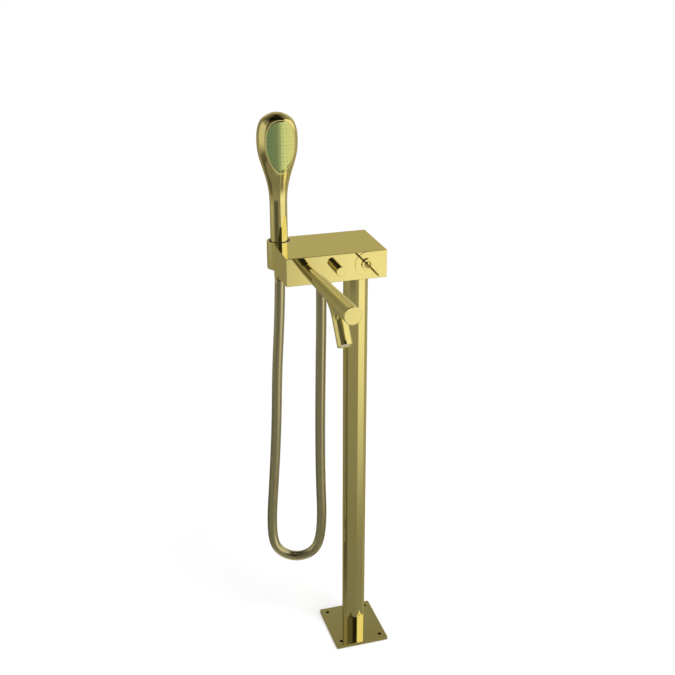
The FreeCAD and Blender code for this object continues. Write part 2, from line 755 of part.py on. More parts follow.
def handset_solid(shrink):
    """Round handle and pear-shaped head, with every radius made smaller by the shrink."""
    base = Vector(holder_x, holder_y, handset_bottom)

    def at(height, radius):
        return base + Vector(radius, 0, height)

    handle_edge = at(handle_top_height, handle_radius - shrink)
    crown = at(crown_height - shrink, 0)
    head_points = [handle_edge]
    for height, radius in head_outline:
        share = min(1, max(0, (height - head_widest) / (crown_height - head_widest)))
        head_points.append(at(height - shrink * share, radius - shrink * math.sqrt(1 - share * share)))
    head_points.append(crown)
    curve = Part.BSplineCurve()
    curve.interpolate(Points=head_points, InitialTangent=UP, FinalTangent=Vector(-1, 0, 0))
    outline = Part.Wire([Part.LineSegment(base, at(0, handle_radius - shrink)).toShape(),
                         Part.LineSegment(at(0, handle_radius - shrink), handle_edge).toShape(),
                         curve.toShape(),
                         Part.LineSegment(crown, base).toShape()])
    return Part.Face(outline).revolve(base, UP, 360)


face_y = holder_y - face_distance


def slab(y_front, y_back):
    """Everything of the handset's height between two planes square to Y."""
    reach = 2 * handle_diameter + face_distance
    return block(holder_x - reach, holder_x + reach, y_front, y_back, handset_bottom - 1,
                 handset_bottom + crown_height + 1)


def face_front(x):
    """The front of the spray face, at a place across it."""
    across = x - holder_x
    return face_y - face_crown + face_crown_radius - math.sqrt(face_crown_radius ** 2 - across ** 2)


def spray_face_blank():
    """The face without its holes, round from side to side at the front."""
    face_back = face_y + face_thickness
    blank = handset_solid(head_rim + push_fit).common(slab(face_y - face_crown, face_back))
    swell_axis = Vector(holder_x, face_y - face_crown + face_crown_radius, handset_bottom - 1)
    return blank.common(rod(2 * face_crown_radius, crown_height + 2, swell_axis, UP))


def jet_places(face):
    """Jets on a square grid about the face's middle, where they keep their distance from its edge."""
    box = face.optimalBoundingBox()
    columns = int(box.XLength / 2 / jet_pitch_x)
    rows = int(box.ZLength / 2 / jet_pitch_z)
    for column in range(-columns, columns + 1):
        for row in range(-rows, rows + 1):
            x = holder_x + column * jet_pitch_x
            z = box.Center.z + row * jet_pitch_z
            probe = rod(2 * jet_edge, face_thickness / 2, Vector(x, face_y + face_thickness / 4, z), TO_BACK)
            if probe.cut(face).Volume < 0.001 * probe.Volume:
                yield Vector(x, face_front(x) - jet_proud, z)


def handset_parts():
    outside = handset_solid(0)
    reach = 2 * handle_diameter + face_distance
    face_back = face_y + face_thickness
    shell = outside.common(slab(face_y, holder_y + reach))
    cavity = handset_solid(handset_wall)
    face_room = handset_solid(head_rim).common(slab(face_y - 1, face_back))
    shell = shell.cut(cavity).cut(face_room)
    shell = shell.cut(rod(handle_diameter - 2 * handset_wall, connector_height,
                          Vector(holder_x, holder_y, handset_bottom - 1), UP))
    face = spray_face_blank()
    mat = handset_solid(handset_wall + push_fit).common(slab(face_back, face_back + jet_mat_thickness))
    jets = []
    holes = []
    for tip in jet_places(face):
        jets.append(rod(jet_diameter, face_back - tip.y + jet_mat_thickness / 2, tip, TO_BACK))
        holes.append(rod(jet_diameter + 2 * push_fit, face_back - tip.y + 2, tip + TO_FRONT, TO_BACK))
    return shell, face.cut(Part.makeCompound(holes)), mat.multiFuse(jets)


def handset_connector():
    base = Vector(holder_x, holder_y, handset_bottom)
    connector = rod(handle_diameter - 2 * handset_wall - 2 * push_fit, connector_height, base, UP)
    connector = connector.fuse(rod(thread_diameter, thread_drop, base, DOWN))
    bore_start = base + DOWN * (thread_drop + 1)
    return connector.cut(rod(thread_bore, connector_height + thread_drop + 2, bore_start, UP))


# Hose -------------------------------------------------------------------------------------

def hose_points():
    """Route in the upright plane from the handset's axis to the outlet: distance out, height."""
    outward = Vector(outlet_x - holder_x, outlet_y - holder_y, 0)
    span = outward.Length
    outward.normalize()
    route = [(0.0, handset_nut_bottom - sweep_gap), (-1.5, 655.0), (-8.5, 545.0), (-12.0, 430.0),
             (-19.0, 320.0), (-25.0, 240.0), (-23.0, 186.5), (-6.6, 163.9), (20.0, 155.3),
             (46.6, 163.9), (63.0, 186.5), (68.8, 242.0), (66.2, 325.0), (66.0, 430.0),
             (67.6, 545.0), (69.8, 655.0), (span, outlet_nut_bottom - rest_gap)]
    return [Vector(holder_x, holder_y, height) + outward * out for out, height in route]


def shower_hose():
    points = hose_points()
    radii = []
    for before, corner, after in zip(points, points[1:], points[2:]):
        shorter = min((corner - before).Length, (after - corner).Length)
        turn = (corner - before).getAngle(after - corner)
        radii.append(0.45 * shorter / math.tan(turn / 2))
    path = tangent_path(points, radii)
    direction = points[1] - points[0]
    outside = path.makePipe(round_face(hose_diameter, points[0], direction))
    hose = outside.cut(path.makePipe(round_face(hose_bore, points[0], direction)))
    section = math.pi / 4 * (hose_diameter ** 2 - hose_bore ** 2)
    print("hose bend radii:", [round(radius) for radius in radii])
    print("hose length: %.1f" % path.Length)
    print("hose volume: %.0f, section times length: %.0f" % (hose.Volume, section * path.Length))
    return hose


def main():
    os.makedirs("parts", exist_ok=True)
    handset_shell, spray_face, jet_mat = handset_parts()
    nodes = {
        "base_plate": base_plate(),
        "foot_socket": foot_socket(),
        "foot_screws": foot_screws(),
        "column_tube": column_tube(),
        "top_socket": top_socket(),
        "top_screws": top_screws(),
        "body_shell": body_shell(),
        "bottom_cover": bottom_cover(),
        "cover_screws": cover_screws(),
        "holder_bush": holder_bush(),
        "valve_casting": valve_casting(),
        "mixer_cartridge": mixer_cartridge(),
        "cartridge_nut": cartridge_nut(),
        "cartridge_rotor": cartridge_rotor(),
        "cartridge_stem": cartridge_stem(),
        "control_disc": control_disc(),
        "lever_collar": lever_collar(),
        "lever_ball": lever_ball(),
        "lever_pin": lever_pin(),
        "diverter_sleeve": diverter_sleeve(),
        "diverter_rod": diverter_rod(),
        "diverter_seal": diverter_seal(),
        "diverter_knob": diverter_knob(),
        "spout_nipple": spout_nipple(),
        "spout_seals": spout_seals(),
        "spout_tube": spout_tube(),
        "nozzle_sleeve": nozzle_sleeve(),
        "aerator_body": aerator_body(),
        "aerator_insert": aerator_insert(),
        "aerator_washer": aerator_washer(),
        "hot_supply_pipe": supply_pipe(-1),
        "cold_supply_pipe": supply_pipe(1),
        "shower_feed_pipe": feed_pipe(),
        "outlet_nipple": outlet_nipple(),
        "check_valve": check_valve(),
        "outlet_hose_nut": hose_nut(outlet_x, outlet_y, outlet_nut_bottom),
        "outlet_hose_tail": hose_tail(outlet_x, outlet_y, outlet_nut_bottom),
        "outlet_washer": hose_washer(outlet_x, outlet_y, outlet_nut_bottom),
        "shower_hose": shower_hose(),
        "handset_hose_nut": hose_nut(holder_x, holder_y, handset_nut_bottom),
        "handset_hose_tail": hose_tail(holder_x, holder_y, handset_nut_bottom),
        "handset_washer": hose_washer(holder_x, holder_y, handset_nut_bottom),
        "handset_connector": handset_connector(),
        "handset_shell": handset_shell,
        "spray_face": spray_face,
        "jet_mat": jet_mat,
    }
    for name, shape in nodes.items():
        valid = "" if shape.isValid() else "  NOT VALID"
        print("%-20s %2d solid(s) %10.0f mm3%s" % (name, len(shape.Solids), shape.Volume, valid))
        save(name, shape)


main()
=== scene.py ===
"""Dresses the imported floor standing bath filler: finishes, shower hose, floor, studio light and camera.

Metres, +Z up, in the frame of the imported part: X along the mixer body, -Y towards the spout's end.
"""
import json
import math
from collections import namedtuple

import bmesh
import bpy
from bpy.props import FloatProperty, FloatVectorProperty, PointerProperty
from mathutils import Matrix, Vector


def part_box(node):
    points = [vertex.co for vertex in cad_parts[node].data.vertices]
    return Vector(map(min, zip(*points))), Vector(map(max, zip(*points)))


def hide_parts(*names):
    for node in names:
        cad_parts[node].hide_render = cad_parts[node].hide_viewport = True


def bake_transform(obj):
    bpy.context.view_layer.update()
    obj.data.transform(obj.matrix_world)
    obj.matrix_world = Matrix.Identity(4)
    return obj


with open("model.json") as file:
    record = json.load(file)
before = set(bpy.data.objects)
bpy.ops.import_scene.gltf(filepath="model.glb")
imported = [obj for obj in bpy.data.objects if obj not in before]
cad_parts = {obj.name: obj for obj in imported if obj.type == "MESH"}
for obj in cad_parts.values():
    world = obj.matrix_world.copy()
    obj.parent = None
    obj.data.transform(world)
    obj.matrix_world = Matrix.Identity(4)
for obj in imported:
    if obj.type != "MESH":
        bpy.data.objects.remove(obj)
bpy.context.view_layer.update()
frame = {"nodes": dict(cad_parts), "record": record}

bl_info = {
    "name": "Floor Standing Bath Filler",
    "version": (1, 0, 0),
    "blender": (4, 5, 0),
    "location": "View3D > Sidebar > Bath Filler",
    "description": "Finishes, shower hose, studio and camera for a floor standing bath filler",
    "category": "Object",
}

OUTLET_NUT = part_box("outlet_hose_nut")
HANDSET_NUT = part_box("handset_hose_nut")
SPRAY_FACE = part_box("spray_face")
# One of the four floor screw holes in the base plate, and where the edge of the painted shade in it begins
# and ends.
BOLTS = next(mount for mount in frame["record"]["mounts"] if mount["name"] == "floor_bolts")["dims"]
PLATE_HOLE = (BOLTS["spacing_x_mm"] / 2000, BOLTS["spacing_y_mm"] / 2000, 0.0)
PLATE_HOLE_SHADE_EDGE = (BOLTS["hole_r_mm"] / 1000 + 0.0001, BOLTS["hole_r_mm"] / 1000 + 0.0003)

WHITE = (1.0, 1.0, 1.0, 1.0)
NOWHERE = (0.0, 0.0, 0.0)
DEGREES = 180 / math.pi


def colour(label, about, default):
    return FloatVectorProperty(name=label, description=about, default=default, subtype="COLOR", size=3,
                               min=0.0, max=1.0)


def share(label, about, default):
    return FloatProperty(name=label, description=about, default=default, min=0.0, max=1.0, subtype="FACTOR")


def length(label, about, default):
    return FloatProperty(name=label, description=about, default=default, min=0.0, unit="LENGTH")


class FillerFinishes(bpy.types.PropertyGroup):
    """Colours and gloss of the filler's finishes."""
    gold: colour("Gold", "Polished gold plating", (0.93, 0.80, 0.29))
    gold_deep: colour("Gold in the shade", "Plating where it is a little thicker", (0.90, 0.75, 0.25))
    gold_edge: colour("Gold at its edges", "Tint of the plating seen at a low angle", (0.97, 0.90, 0.60))
    gold_roughness: share("Gold roughness", "Of the polished plating", 0.035)
    hose: colour("Hose", "Metallised cover of the hose", (0.70, 0.61, 0.30))
    # The face's left and right colours carry a painted reflection, darker at the left and brighter at the
    # right; the green-yellow tint is the face's own.
    face_left_shaded: colour("Spray face, left", "Green side of the handset's mirror face", (0.50, 0.72, 0.27))
    face_right_lit: colour("Spray face, right", "Yellow side of the face", (0.80, 0.76, 0.24))
    # Painted shade on the jets: near black on the face's left side, pale on its right side.
    jets_left_shaded: colour("Jets, left", "Soft jets on the green side", (0.05, 0.08, 0.035))
    jets_right_lit: colour("Jets, right", "Soft jets on the yellow side", (0.55, 0.53, 0.18))
    brass: colour("Brass", "Turned brass parts", (0.80, 0.58, 0.26))
    steel: colour("Steel", "Screws", (0.60, 0.60, 0.61))
    copper: colour("Copper", "Drawn copper pipes", (0.86, 0.45, 0.27))
    rubber: colour("Rubber", "Seals and washers", (0.018, 0.018, 0.018))
    plastic: colour("Plastic", "White moulded valve parts", (0.78, 0.78, 0.75))
    # The bush's own dark colour, also used as the painted shade in the base plate's screw holes.
    bush_and_hole_shade: colour("Bush", "Dark lining of the handset's holder", (0.020, 0.017, 0.009))


class FillerHose(bpy.types.PropertyGroup):
    """The shower hose."""
    diameter: length("Diameter", "Outside of the hose", 0.018)
    real_length: length("Length", "From end to end", 1.155)


class FillerStudio(bpy.types.PropertyGroup):
    """Floor, light and camera."""
    floor: colour("Floor", "Plain pale floor", (0.96, 0.96, 0.96))
    floor_radius: length("Floor radius", "Of the round floor", 40.0)
    soft_light: share("Soft light", "Level of the light from all sides", 0.62)
    lens: FloatProperty(name="Lens", description="Focal length on a 36 mm sensor", default=57.5,
                        unit="CAMERA")
    distance: length("Distance", "Camera to the point that it looks at", 1.85)
    heading: FloatProperty(name="Heading", description="Camera's place round the filler", subtype="ANGLE",
                           default=math.radians(-17.1))
    height: FloatProperty(name="Height angle", description="Camera's angle above level", subtype="ANGLE",
                          default=math.radians(22.85))


# Shader helpers ------------------------------------------------------------------

class Wire:
    """An output socket. Arithmetic on it adds Math nodes to its tree."""

    def __init__(self, nodes, socket):
        self.nodes = nodes
        self.socket = socket

    def __add__(self, other):
        return self.nodes.maths("ADD", self, other)

    def __radd__(self, other):
        return self.nodes.maths("ADD", other, self)

    def __sub__(self, other):
        return self.nodes.maths("SUBTRACT", self, other)

    def __rsub__(self, other):
        return self.nodes.maths("SUBTRACT", other, self)

    def __mul__(self, other):
        return self.nodes.maths("MULTIPLY", self, other)

    def __rmul__(self, other):
        return self.nodes.maths("MULTIPLY", other, self)

    def beside(self, number):
        """Another output of the same node."""
        return Wire(self.nodes, self.socket.node.outputs[number])


class Nodes:
    """A node tree that is written one call at a time."""

    def __init__(self, owner):
        owner.use_nodes = True
        self.tree = owner.node_tree
        self.tree.nodes.clear()

    def add(self, kind, settings=None, sockets=None, output=0):
        """Add a node: its settings first, then the values or links of its sockets."""
        node = self.tree.nodes.new(kind)
        for name, value in (settings or {}).items():
            setattr(node, name, value)
        for name, value in (sockets or {}).items():
            if isinstance(value, Wire):
                self.tree.links.new(value.socket, node.inputs[name])
            else:
                node.inputs[name].default_value = value
        return Wire(self, node.outputs[output]) if node.outputs else None

    def maths(self, operation, first, second=0.0):
        return self.add("ShaderNodeMath", {"operation": operation}, {0: first, 1: second})

    def vector(self, operation, first, second):
        return self.add("ShaderNodeVectorMath", {"operation": operation}, {0: first, 1: second})

    def place(self):
        """Where on the filler a point is."""
        return self.add("ShaderNodeTexCoord", output="Object")

    def blend(self, factor, first, second):
        """Mix two colours."""
        return self.add("ShaderNodeMix", {"data_type": "RGBA"}, {0: factor, 6: first, 7: second}, 2)

    def step(self, value, low, high, low_out=0.0, high_out=1.0):
        """Smooth step from one level to another as the value goes from low to high."""
        return self.add("ShaderNodeMapRange", {"interpolation_type": "SMOOTHSTEP"},
                        {0: value, 1: low, 2: high, 3: low_out, 4: high_out})

    def noise(self, scale, detail=2.0, roughness=0.5, stretch=(1.0, 1.0, 1.0)):
        stretched = self.add("ShaderNodeMapping", None, {"Vector": self.place(), "Scale": stretch})
        return self.add("ShaderNodeTexNoise", None,
                        {"Vector": stretched, "Scale": scale, "Detail": detail, "Roughness": roughness})

    def bump(self, height, strength, distance):
        return self.add("ShaderNodeBump", None,
                        {"Height": height, "Strength": strength, "Distance": distance})


def opaque(tone, times=1.0):
    """A colour, darker or paler by a factor, with its alpha."""
    return (*(times * channel for channel in tone), 1.0)


def surface(name, sockets_from):
    """A material whose Principled sockets come from a function of its node tree."""
    material = bpy.data.materials.new(name)
    nodes = Nodes(material)
    shader = nodes.add("ShaderNodeBsdfPrincipled", None, sockets_from(nodes))
    nodes.add("ShaderNodeOutputMaterial", None, {"Surface": shader})
    return material


def finishes():
    return bpy.context.scene.filler_finishes


# Finishes ------------------------------------------------------------------------

GRAIN_RANGE = (0.3, 0.7)        # most of a noise's values lie between these
SMEAR_ROUGHNESS = 0.03          # that wipe marks add to the polish


def grained(nodes, base_colour, grain, roughness, strength, depth, metallic=0.0):
    """Sockets of a finish whose roughness and bump follow its grain."""
    return {
        "Base Color": base_colour,
        "Metallic": metallic,
        "Roughness": nodes.step(grain, *GRAIN_RANGE, *roughness),
        "Normal": nodes.bump(grain, strength, depth),
    }


def polished_gold(nodes):
    """Mirror polish with faint wipe marks and an almost level surface."""
    smears = nodes.noise(scale=9.0, detail=3.0, roughness=0.55, stretch=(1.0, 1.0, 0.35))
    thickness = nodes.step(nodes.noise(scale=4.0), 0.35, 0.65)
    base = finishes().gold_roughness
    return {
        "Base Color": nodes.blend(thickness, opaque(finishes().gold), opaque(finishes().gold_deep)),
        "Specular Tint": opaque(finishes().gold_edge),
        "Metallic": 1.0,
        "Roughness": nodes.step(smears, 0.35, 0.75, base, base + SMEAR_ROUGHNESS),
        "Normal": nodes.bump(nodes.noise(scale=900.0, detail=1.0), 0.02, 0.0002),
    }


def plate_gold_hole_shade(nodes):
    """The plating, with painted shade on the walls of the plate's floor screw holes."""
    sockets = polished_gold(nodes)
    quarter = nodes.add("ShaderNodeVectorMath", {"operation": "ABSOLUTE"}, {0: nodes.place()})
    from_hole = nodes.vector("MULTIPLY", nodes.vector("SUBTRACT", quarter, PLATE_HOLE), (1.0, 1.0, 0.0))
    distance = nodes.vector("LENGTH", from_hole, NOWHERE).beside(1)
    # Painted shade: the holes' walls and a thin ring round them take the bush's dark colour.
    inside = nodes.step(distance, *PLATE_HOLE_SHADE_EDGE, 1.0, 0.0)
    sockets["Base Color"] = nodes.blend(inside, sockets["Base Color"], opaque(finishes().bush_and_hole_shade))
    return sockets


def bare_brass(nodes):
    """Turned brass with fine tool lines."""
    lines = nodes.noise(scale=260.0, stretch=(1.0, 1.0, 12.0))
    tarnish = nodes.step(nodes.noise(scale=30.0, detail=4.0), 0.45, 0.75)
    tones = nodes.blend(tarnish, opaque(finishes().brass), opaque(finishes().brass, 0.72))
    return grained(nodes, tones, lines, roughness=(0.18, 0.34), strength=0.15, depth=0.0002, metallic=1.0)


def screw_steel(nodes):
    grain = nodes.noise(scale=500.0)
    tones = nodes.blend(grain, opaque(finishes().steel, 0.8), opaque(finishes().steel))
    return grained(nodes, tones, grain, roughness=(0.22, 0.38), strength=0.1, depth=0.0001, metallic=1.0)


def black_rubber(nodes):
    """Rubber with a little pale dust."""
    grain = nodes.noise(scale=700.0, detail=3.0)
    dust = nodes.step(grain, 0.45, 0.8)
    tones = nodes.blend(dust, opaque(finishes().rubber), opaque(finishes().rubber, 2.2))
    return grained(nodes, tones, grain, roughness=(0.55, 0.72), strength=0.2, depth=0.0002)


def valve_plastic(nodes):
    grain = nodes.noise(scale=420.0)
    tones = nodes.blend(nodes.noise(scale=25.0), opaque(finishes().plastic, 0.9), opaque(finishes().plastic))
    return grained(nodes, tones, grain, roughness=(0.36, 0.46), strength=0.08, depth=0.0002)


def copper_pipe(nodes):
    """Copper with drawing lines along the pipe and brown spots."""
    lines = nodes.noise(scale=120.0, stretch=(8.0, 8.0, 1.0))
    spots = nodes.step(nodes.noise(scale=45.0, detail=5.0), 0.5, 0.8)
    tones = nodes.blend(spots, opaque(finishes().copper), opaque(finishes().copper, 0.55))
    return grained(nodes, tones, lines, roughness=(0.24, 0.4), strength=0.1, depth=0.0002, metallic=1.0)


def bush_plastic(nodes):
    grain = nodes.noise(scale=600.0)
    tones = nodes.blend(nodes.noise(scale=40.0), opaque(finishes().bush_and_hole_shade), opaque(finishes().bush_and_hole_shade, 1.6))
    return grained(nodes, tones, grain, roughness=(0.3, 0.42), strength=0.1, depth=0.0002)


def gold_hose(nodes):
    """Smooth metallised cover, a little less sharp than the plating."""
    ripple = nodes.noise(scale=60.0)
    tones = nodes.blend(ripple, opaque(finishes().hose, 0.85), opaque(finishes().hose))
    return grained(nodes, tones, ripple, roughness=(0.20, 0.26), strength=0.03, depth=0.0004, metallic=1.0)


def painted_light_across_face(nodes):
    """From 0 at the left side of the handset's face to 1 at its right side, the ramp along which the painted
    reflection goes from shaded to lit.
    """
    x = nodes.add("ShaderNodeSeparateXYZ", None, {0: nodes.place()})
    return nodes.step(x, SPRAY_FACE[0].x, SPRAY_FACE[1].x)


def spray_face(nodes):
    """Tinted mirror, green at the left and yellow at the right, with painted reflection: darker at the left
    and brighter at the right.
    """
    smears = nodes.noise(scale=20.0, detail=3.0)
    green, yellow = opaque(finishes().face_left_shaded), opaque(finishes().face_right_lit)
    return {
        # Painted reflection across the face, shaded at the left and lit at the right.
        "Base Color": nodes.blend(painted_light_across_face(nodes), green, yellow),
        "Specular Tint": yellow,
        "Metallic": 1.0,
        "Roughness": nodes.step(smears, 0.35, 0.7, 0.05, 0.09),
        "Normal": nodes.bump(nodes.noise(scale=500.0), 0.02, 0.0002),
    }


def jet_rubber(nodes):
    """Soft jets with painted shade: dark on the face's green left side, pale on its right side."""
    grain = nodes.noise(scale=900.0)
    # Painted shade on the jets, dark at the left and pale at the right.
    tones = nodes.blend(painted_light_across_face(nodes), opaque(finishes().jets_left_shaded), opaque(finishes().jets_right_lit))
    return grained(nodes, tones, grain, roughness=(0.3, 0.45), strength=0.1, depth=0.0001)


FINISHES = {
    "polished_gold": polished_gold,
    "bare_brass": bare_brass,
    "screw_steel": screw_steel,
    "black_rubber": black_rubber,
    "valve_plastic": valve_plastic,
    "copper_pipe": copper_pipe,
    "bush_plastic": bush_plastic,
    "gold_hose": gold_hose,
    "spray_face": spray_face,
    "jet_rubber": jet_rubber,
}
SLOT_OF_NODE = {part["node"]: part["material_slot"] for part in frame["record"]["subparts"]}


def finish(slot):
    """The finish of one of the record's material slots, made the first time it is asked for."""
    name = "filler_" + slot
    return bpy.data.materials.get(name) or surface(name, FINISHES[slot])


def put_on(name, material):
    """Give a CAD node one material."""
    materials = frame["nodes"][name].data.materials
    materials.clear()
    materials.append(material)


def dress(*names):
    """Give CAD nodes the finishes of their slots."""
    for name in names:
        put_on(name, finish(SLOT_OF_NODE[name]))


# Shower hose -----------------------------------------------------------------------

HOLDER_AXIS = ((HANDSET_NUT[0] + HANDSET_NUT[1]) / 2).to_2d()
OUTLET_AXIS = ((OUTLET_NUT[0] + OUTLET_NUT[1]) / 2).to_2d()
HOSE_SPAN = (OUTLET_AXIS - HOLDER_AXIS).length
HOSE_START = 0.716              # height of the end in the handset's nut
HOSE_END = 0.7079               # height of the end in the outlet's nut
# Distance from the holder's axis towards the outlet, and height.
HOSE_ROUTE = [(0.0, HOSE_START), (-0.0015, 0.655), (-0.0085, 0.545), (-0.012, 0.430), (-0.019, 0.320),
              (-0.025, 0.240), (-0.023, 0.1865), (-0.0066, 0.1639), (0.020, 0.1553), (0.0466, 0.1639),
              (0.063, 0.1865), (0.0688, 0.242), (0.0662, 0.325), (0.066, 0.430), (0.0676, 0.545),
              (0.0698, 0.655), (HOSE_SPAN, HOSE_END)]
HOSE_SIDES = 40
HOSE_STEPS_PER_POINT = 14
HOSE_BORE_SHARE = 0.7           # bore to outside


def hose_place(out, height):
    way = (OUTLET_AXIS - HOLDER_AXIS).normalized()
    spot = HOLDER_AXIS + way * out
    return Vector((spot.x, spot.y, height))


def smooth_line(points):
    """Points along a NURBS spline that has the given control points."""
    curve = bpy.data.curves.new("route", "CURVE")
    curve.dimensions = "3D"
    spline = curve.splines.new("NURBS")
    spline.points.add(len(points) - 1)
    for control, point in zip(spline.points, points):
        control.co = (*point, 1.0)
    spline.order_u = 3
    spline.use_endpoint_u = True
    spline.resolution_u = HOSE_STEPS_PER_POINT
    carrier = bpy.data.objects.new("route", curve)
    mesh = bpy.data.meshes.new_from_object(carrier)
    line = [vertex.co.copy() for vertex in mesh.vertices]
    bpy.data.meshes.remove(mesh)
    bpy.data.objects.remove(carrier)
    bpy.data.curves.remove(curve)
    return line


def ring_round(mesh, centre, along, sideways, radius):
    """One ring of the hose, square to its line; the line lies in one upright plane."""
    across = along.cross(sideways).normalized()
    turns = [2 * math.pi * side / HOSE_SIDES for side in range(HOSE_SIDES)]
    return [mesh.verts.new(centre + (sideways * math.cos(turn) + across * math.sin(turn)) * radius)
            for turn in turns]


def join_rings(mesh, first, second):
    for side in range(HOSE_SIDES):
        after = (side + 1) % HOSE_SIDES
        face = mesh.faces.new((first[side], first[after], second[after], second[side]))
        face.smooth = True


def hose_tube(line, outer, inner):
    """A tube with a bore, closed by a flat ring at each end."""
    mesh = bmesh.new()
    sideways = (line[-1] - line[0]).cross(Vector((0, 0, 1))).normalized()
    walls = []
    for radius in (outer, inner):
        rings = []
        for number, centre in enumerate(line):
            before = line[max(number - 1, 0)]
            after = line[min(number + 1, len(line) - 1)]
            rings.append(ring_round(mesh, centre, (after - before).normalized(), sideways, radius))
        for first, second in zip(rings, rings[1:]):
            if radius == outer:
                join_rings(mesh, first, second)
            else:
                join_rings(mesh, second, first)
        walls.append(rings)
    join_rings(mesh, walls[1][0], walls[0][0])
    join_rings(mesh, walls[0][-1], walls[1][-1])
    made = bpy.data.meshes.new("shower_hose_tube")
    mesh.to_mesh(made)
    mesh.free()
    return made


# Studio room -------------------------------------------------------------------------

# A part of the room: its lowest and highest heading and the width of their soft edge, the same of its height
# or None for all heights, and its level.
Patch = namedtuple("Patch", "headings heights level")


class Room:
    """The room that the polish shows: brightness by heading, from +Y towards +X, and height, in degrees."""

    # Steps between two levels: from, to, level before, level after.
    LOW_WALL = (-38.0, -20.0, 0.21, 0.28)
    GROUND = (-60.0, -45.0, 0.35, 0.0)
    BRIGHT_SIDE_FOOT = (-35.0, -21.0, 0.04, 1.0)
    BRIGHT_SIDE_TOP = (-20.0, -12.0, 1.0, 0.8)
    BACK_WALL = (20.0, 42.0, 0.46, 0.207)
    CEILING = (42.0, 65.0, 1.0, 0.05)
    FRONT_WALL = (196.0, 212.0, 0.015, 0.10)

    REAR_CORNER = Patch((20.0, 95.0, 12.0), None, 0.10)
    BRIGHT_SIDE = Patch((97.0, 166.0, 5.0), None, 0.66)
    FRONT_SHADE = Patch((196.0, 250.0, 5.0), (-20.0, -4.0, 1.5), 0.18)
    LEFT_SHADE = Patch((268.0, 318.0, 8.0), (-36.0, -22.0, 2.0), 0.13)
    BACK_SHADE = Patch((318.0, 352.0, 8.0), None, 0.5)
    FRONT = Patch((150.0, 262.0, 6.0), None, 1.0)
    WINDOW = Patch((62.0, 156.0, 4.0), (-10.0, 56.0, 5.0), 0.95)
    SOFTBOX = Patch((268.0, 313.0, 5.0), (-16.0, 27.0, 5.0), 0.62)

    HORIZON = (-8.0, 8.0)       # the low room gives way to the high room between these heights
    FRONT_HORIZON_RISE = 12.0   # and this much higher in front

    def __init__(self, nodes):
        self.nodes = nodes
        way = nodes.add("ShaderNodeTexCoord", output="Generated")
        east = nodes.add("ShaderNodeSeparateXYZ", None, {0: way})
        turn = nodes.maths("ARCTAN2", east, east.beside(1)) * DEGREES
        self.heading = nodes.maths("FLOORED_MODULO", turn, 360.0)
        self.rise = nodes.maths("ARCSINE", east.beside(2)) * DEGREES

    def between(self, value, low, high, edge):
        """1 from low to high, with soft edges."""
        return (self.nodes.step(value, low - edge, low + edge)
                * self.nodes.step(value, high - edge, high + edge, 1.0, 0.0))

    def inside(self, patch):
        """1 in a patch of the room, with soft edges."""
        share_round = self.between(self.heading, *patch.headings)
        return share_round * self.between(self.rise, *patch.heights) if patch.heights else share_round

    def low_room(self):
        """Walls below the filler's level, with one bright side to its front right."""
        step = self.nodes.step
        bright = self.BRIGHT_SIDE.level * self.inside(self.BRIGHT_SIDE)
        bright = bright * step(self.rise, *self.BRIGHT_SIDE_FOOT) * step(self.rise, *self.BRIGHT_SIDE_TOP)
        level = step(self.rise, *self.LOW_WALL) + step(self.rise, *self.GROUND)
        level = level + self.REAR_CORNER.level * self.inside(self.REAR_CORNER) + bright
        for shade in (self.FRONT_SHADE, self.LEFT_SHADE):
            level = level - shade.level * self.inside(shade)
        return level

    def high_room(self, front):
        """Walls above it: dark in front, brighter behind, with a window to the right."""
        step = self.nodes.step
        back = step(self.rise, *self.BACK_WALL) * step(self.rise, *self.CEILING)
        back = back * (1 - self.BACK_SHADE.level * self.inside(self.BACK_SHADE))
        level = back * (1 - front) + step(self.heading, *self.FRONT_WALL) * front
        return self.over(level, self.WINDOW)

    def over(self, level, lamp):
        """A bright patch laid over what is behind it."""
        lit = self.inside(lamp)
        return level * (1 - lit) + lamp.level * lit

    def level(self):
        front = self.inside(self.FRONT)
        height_share = self.nodes.step(self.rise - self.FRONT_HORIZON_RISE * front, *self.HORIZON)
        level = (1 - height_share) * self.low_room() + height_share * self.high_room(front)
        return self.over(level, self.SOFTBOX)


# Operators ---------------------------------------------------------------------------

class FILLER_OT_camera(bpy.types.Operator):
    """Place the camera at the product view"""
    bl_idname = "filler.camera"
    bl_label = "Camera"

    LOOKS_AT = Vector((-0.0317, 0.0, 0.611))

    def execute(self, context):
        studio = context.scene.filler_studio
        data = bpy.data.cameras.new("product_view")
        data.sensor_width = 36.0
        data.lens = studio.lens
        data.clip_end = 200.0
        camera = bpy.data.objects.new("product_view", data)
        context.scene.collection.objects.link(camera)
        back = Vector((math.sin(studio.heading) * math.cos(studio.height),
                       -math.cos(studio.heading) * math.cos(studio.height), math.sin(studio.height)))
        camera.location = self.LOOKS_AT + back * studio.distance
        camera.rotation_euler = (-back).to_track_quat("-Z", "Y").to_euler()
        context.scene.camera = camera
        return {"FINISHED"}


class FILLER_OT_hose(bpy.types.Operator):
    """Make the shower hose, which hangs in a loop from the handset to the outlet"""
    bl_idname = "filler.hose"
    bl_label = "Shower hose"

    # Distance out of the holder's axis, and height, of two places on a slanted line. Nothing in this script
    # reads them.
    STAYS = (0.058, 0.716)
    FOLLOWS = (0.0114, 0.7241)

    def execute(self, context):
        size = context.scene.filler_hose
        line = smooth_line([hose_place(out, height) for out, height in HOSE_ROUTE])
        outer = size.diameter / 2
        hose = bpy.data.objects.new("hose_cover", hose_tube(line, outer, outer * HOSE_BORE_SHARE))
        context.scene.collection.objects.link(hose)
        hose.data.materials.append(finish("gold_hose"))
        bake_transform(hose)
        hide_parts("shower_hose")
        return {"FINISHED"}


